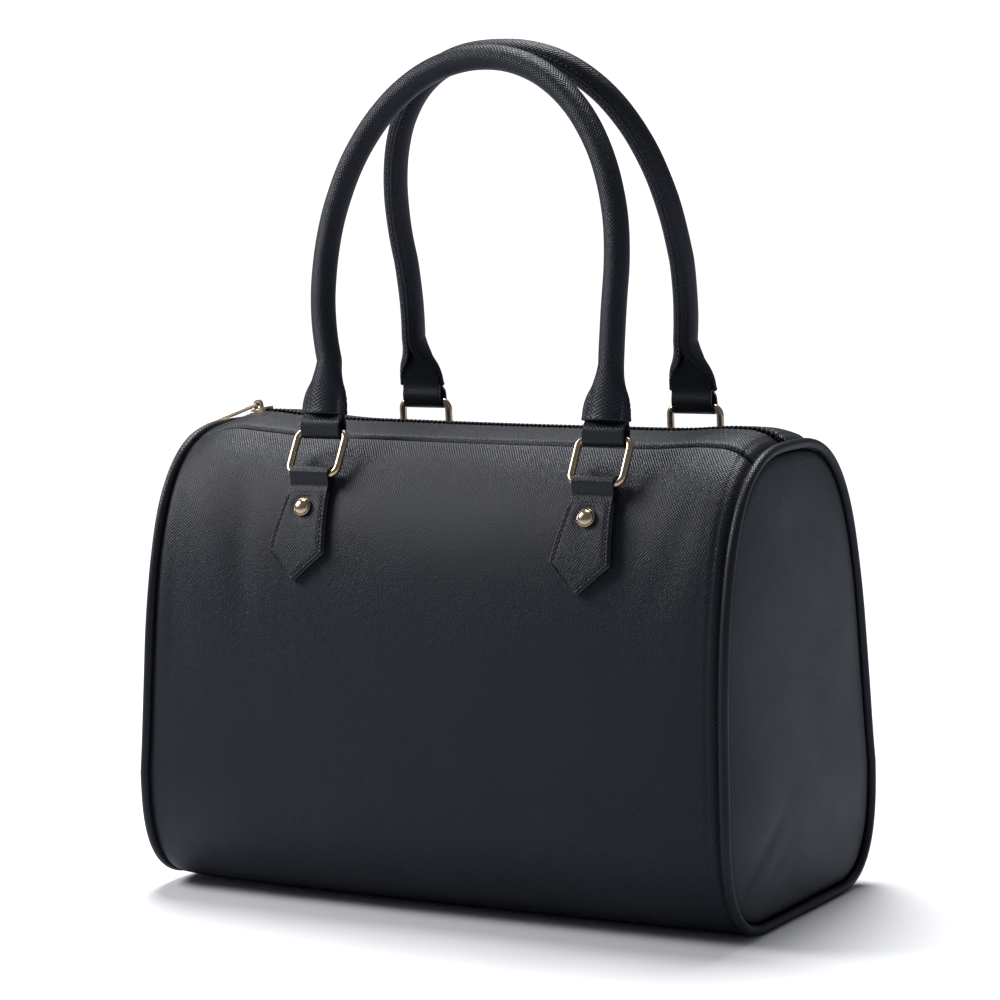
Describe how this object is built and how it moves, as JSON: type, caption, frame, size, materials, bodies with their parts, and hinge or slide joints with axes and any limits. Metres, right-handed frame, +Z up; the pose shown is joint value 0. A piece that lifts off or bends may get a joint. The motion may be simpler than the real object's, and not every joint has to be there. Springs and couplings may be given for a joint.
{
  "type": "boston bag",
  "caption": "Hollow barrel-shaped leather boston bag with piped ends, zip top, rolled tube handles on metal rings, and pointed riveted tabs.",
  "frame": {"origin": "on the floor under the middle of the bag, at the middle of its flat base", "axes": "+X along the bag to the end without the zip puller, +Y from front to back, +Z up"},
  "size_m": [0.3569, 0.1852, 0.4432],
  "materials": {
    "leather_black": "coated leather with a fine crosshatch grain, soft sheen",
    "leather_deep": "coated leather, smooth sheen",
    "gold_metal": "polished pale gold plating",
    "zip_tape": "woven tape, matt",
    "zip_teeth": "moulded, satin"
  },
  "bodies": {
    "bag": {"front_panel": "leather_black", "back_panel": "leather_black", "top_panel_front": "leather_black", "top_panel_back": "leather_black", "gusset_left": "leather_black", "gusset_right": "leather_black", "base_panel": "leather_deep", "piping_left": "leather_deep", "piping_right": "leather_deep", "zip_tape": "zip_tape", "zip_teeth": "zip_teeth", "zip_slider": "gold_metal", "tab_fl": "leather_black", "rivet_fl": "gold_metal", "ring_fl": "gold_metal", "strap_fl": "leather_deep", "tab_fr": "leather_black", "rivet_fr": "gold_metal", "ring_fr": "gold_metal", "strap_fr": "leather_deep", "tab_bl": "leather_black", "rivet_bl": "gold_metal", "ring_bl": "gold_metal", "strap_bl": "leather_deep", "tab_br": "leather_black", "rivet_br": "gold_metal", "ring_br": "gold_metal", "strap_br": "leather_deep", "handle_front": "leather_black", "handle_back": "leather_black"},
    "puller": {"zip_puller": "gold_metal"}
  },
  "joints": [
    {"name": "puller_swing", "type": "hinge", "parent": "bag", "child": "puller", "pos_m": [-0.14923, 0, 0.25155], "axis": [0, 1, 0], "range_deg": [0, 198]}
  ]
}
